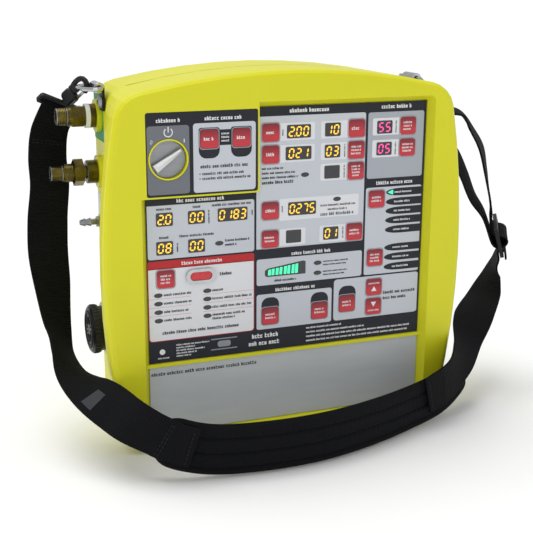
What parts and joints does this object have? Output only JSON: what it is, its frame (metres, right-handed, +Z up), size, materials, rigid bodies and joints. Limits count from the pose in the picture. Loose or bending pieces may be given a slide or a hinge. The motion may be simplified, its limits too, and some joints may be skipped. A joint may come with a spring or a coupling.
{
  "type": "portable mechanical ventilator",
  "caption": "Portable battery ventilator: arched box housing with a recessed front control panel, gas connections on one side and a padded clip-on shoulder strap.",
  "frame": {"origin": "centre of the flat base the housing stands on", "axes": "+Z up, +Y towards the rear, so the control panel faces -Y, and +X to the right seen from the front"},
  "size_m": [0.4865, 0.2105, 0.3265],
  "materials": {
    "shell": "satin moulded",
    "overlay": "printed film",
    "plate": "painted satin",
    "key": "satin",
    "knob": "satin",
    "brass": "turned",
    "steel": "polished",
    "valve": "machined",
    "black": "moulded",
    "rubber": "matt",
    "webbing": "woven",
    "green": "printed",
    "board": "circuit board",
    "battery": "wrapped cells",
    "white": "moulded",
    "lens": "clear moulded",
    "manifold": "machined"
  },
  "bodies": {
    "housing": {"front_shell": "shell", "rear_shell": "shell", "shell_gasket": "rubber", "main_overlay": "overlay", "start_overlay": "overlay", "lower_plate": "plate", "power_switch": "black", "alarm_bezel": "steel", "alarm_lens": "lens", "display_board": "board", "control_board": "board", "battery_pack": "battery", "gas_manifold": "manifold", "oxygen_valve": "valve", "air_valve": "valve", "alarm_sounder": "black", "oxygen_inlet": "brass", "oxygen_collar": "white", "air_inlet": "brass", "pressure_barb": "steel", "oxygen_plate": "green", "filter_cup": "black", "patient_outlet": "white", "power_socket": "black", "left_ring_bracket": "black", "left_snap_hook": "black", "right_ring_bracket": "black", "right_snap_hook": "black", "left_webbing": "webbing", "right_webbing": "webbing", "upper_loop": "webbing", "shoulder_pad": "webbing", "slider_buckle": "black"},
    "key_inspiratory_time": {"key_inspiratory_time": "key"},
    "key_oxygen_percent": {"key_oxygen_percent": "key"},
    "key_tidal_volume": {"key_tidal_volume": "key"},
    "key_pressure_support": {"key_pressure_support": "key"},
    "key_breath_rate": {"key_breath_rate": "key"},
    "key_end_pressure": {"key_end_pressure": "key"},
    "key_peak_pressure": {"key_peak_pressure": "key"},
    "key_trigger": {"key_trigger": "key"},
    "key_high_alarm": {"key_high_alarm": "key"},
    "key_low_alarm": {"key_low_alarm": "key"},
    "key_mode": {"key_mode": "key"},
    "key_custom_mode": {"key_custom_mode": "key"},
    "key_alarm_silence": {"key_alarm_silence": "key"},
    "key_oxygen_conserve": {"key_oxygen_conserve": "key"},
    "key_manual_breath": {"key_manual_breath": "key"},
    "key_control_lock": {"key_control_lock": "key"},
    "key_increase": {"key_increase": "key"},
    "key_decrease": {"key_decrease": "key"},
    "key_adult": {"key_adult": "key"},
    "key_child": {"key_child": "key"},
    "power_knob": {"power_knob": "knob"},
    "filter_cap": {"filter_cap": "black"},
    "left_ring": {"left_ring": "steel"},
    "left_hook_gate": {"left_hook_gate": "steel"},
    "right_ring": {"right_ring": "steel"},
    "right_hook_gate": {"right_hook_gate": "steel"}
  },
  "joints": [
    {"name": "key_inspiratory_time_press", "type": "slide", "parent": "housing", "child": "key_inspiratory_time", "axis": [0, 1, 0], "range_m": [0, 0.0005], "stiffness_N_per_m": 300},
    {"name": "key_oxygen_percent_press", "type": "slide", "parent": "housing", "child": "key_oxygen_percent", "axis": [0, 1, 0], "range_m": [0, 0.0005], "stiffness_N_per_m": 300},
    {"name": "key_tidal_volume_press", "type": "slide", "parent": "housing", "child": "key_tidal_volume", "axis": [0, 1, 0], "range_m": [0, 0.0005], "stiffness_N_per_m": 300},
    {"name": "key_pressure_support_press", "type": "slide", "parent": "housing", "child": "key_pressure_support", "axis": [0, 1, 0], "range_m": [0, 0.0005], "stiffness_N_per_m": 300},
    {"name": "key_breath_rate_press", "type": "slide", "parent": "housing", "child": "key_breath_rate", "axis": [0, 1, 0], "range_m": [0, 0.0005], "stiffness_N_per_m": 300},
    {"name": "key_end_pressure_press", "type": "slide", "parent": "housing", "child": "key_end_pressure", "axis": [0, 1, 0], "range_m": [0, 0.0005], "stiffness_N_per_m": 300},
    {"name": "key_peak_pressure_press", "type": "slide", "parent": "housing", "child": "key_peak_pressure", "axis": [0, 1, 0], "range_m": [0, 0.0005], "stiffness_N_per_m": 300},
    {"name": "key_trigger_press", "type": "slide", "parent": "housing", "child": "key_trigger", "axis": [0, 1, 0], "range_m": [0, 0.0005], "stiffness_N_per_m": 300},
    {"name": "key_high_alarm_press", "type": "slide", "parent": "housing", "child": "key_high_alarm", "axis": [0, 1, 0], "range_m": [0, 0.0005], "stiffness_N_per_m": 300},
    {"name": "key_low_alarm_press", "type": "slide", "parent": "housing", "child": "key_low_alarm", "axis": [0, 1, 0], "range_m": [0, 0.0005], "stiffness_N_per_m": 300},
    {"name": "key_mode_press", "type": "slide", "parent": "housing", "child": "key_mode", "axis": [0, 1, 0], "range_m": [0, 0.0005], "stiffness_N_per_m": 300},
    {"name": "key_custom_mode_press", "type": "slide", "parent": "housing", "child": "key_custom_mode", "axis": [0, 1, 0], "range_m": [0, 0.0005], "stiffness_N_per_m": 300},
    {"name": "key_alarm_silence_press", "type": "slide", "parent": "housing", "child": "key_alarm_silence", "axis": [0, 1, 0], "range_m": [0, 0.0005], "stiffness_N_per_m": 300},
    {"name": "key_oxygen_conserve_press", "type": "slide", "parent": "housing", "child": "key_oxygen_conserve", "axis": [0, 1, 0], "range_m": [0, 0.0005], "stiffness_N_per_m": 300},
    {"name": "key_manual_breath_press", "type": "slide", "parent": "housing", "child": "key_manual_breath", "axis": [0, 1, 0], "range_m": [0, 0.0005], "stiffness_N_per_m": 300},
    {"name": "key_control_lock_press", "type": "slide", "parent": "housing", "child": "key_control_lock", "axis": [0, 1, 0], "range_m": [0, 0.0005], "stiffness_N_per_m": 300},
    {"name": "key_increase_press", "type": "slide", "parent": "housing", "child": "key_increase", "axis": [0, 1, 0], "range_m": [0, 0.0005], "stiffness_N_per_m": 300},
    {"name": "key_decrease_press", "type": "slide", "parent": "housing", "child": "key_decrease", "axis": [0, 1, 0], "range_m": [0, 0.0005], "stiffness_N_per_m": 300},
    {"name": "key_adult_press", "type": "slide", "parent": "housing", "child": "key_adult", "axis": [0, 1, 0], "range_m": [0, 0.0005], "stiffness_N_per_m": 300},
    {"name": "key_child_press", "type": "slide", "parent": "housing", "child": "key_child", "axis": [0, 1, 0], "range_m": [0, 0.0005], "stiffness_N_per_m": 300},
    {"name": "power_knob_turn", "type": "hinge", "parent": "housing", "child": "power_knob", "pos_m": [-0.1111, -0.055, 0.2567], "axis": [0, -1, 0], "range_deg": [0, 100]},
    {"name": "filter_cap_turn", "type": "hinge", "parent": "housing", "child": "filter_cap", "pos_m": [-0.1573, 0.027, 0.0905], "axis": [-1, 0, 0], "range_deg": [0, 90]},
    {"name": "left_ring_swing", "type": "hinge", "parent": "housing", "child": "left_ring", "pos_m": [-0.1516, 0.021, 0.3095], "axis": [0, 1, 0], "range_deg": [0, 5]},
    {"name": "right_ring_swing", "type": "hinge", "parent": "housing", "child": "right_ring", "pos_m": [0.1516, 0.021, 0.3095], "axis": [0, -1, 0], "range_deg": [0, 5]},
    {"name": "left_hook_gate_press", "type": "hinge", "parent": "housing", "child": "left_hook_gate", "pos_m": [-0.16365, 0.04254, 0.29907], "axis": [-0.7791, -0.6269, -0.0001], "range_deg": [0, 14], "stiffness_Nm_per_rad": 0.02},
    {"name": "right_hook_gate_press", "type": "hinge", "parent": "housing", "child": "right_hook_gate", "pos_m": [0.16592, 0.021, 0.28766], "axis": [0, 1, 0], "range_deg": [0, 14], "stiffness_Nm_per_rad": 0.02}
  ]
}
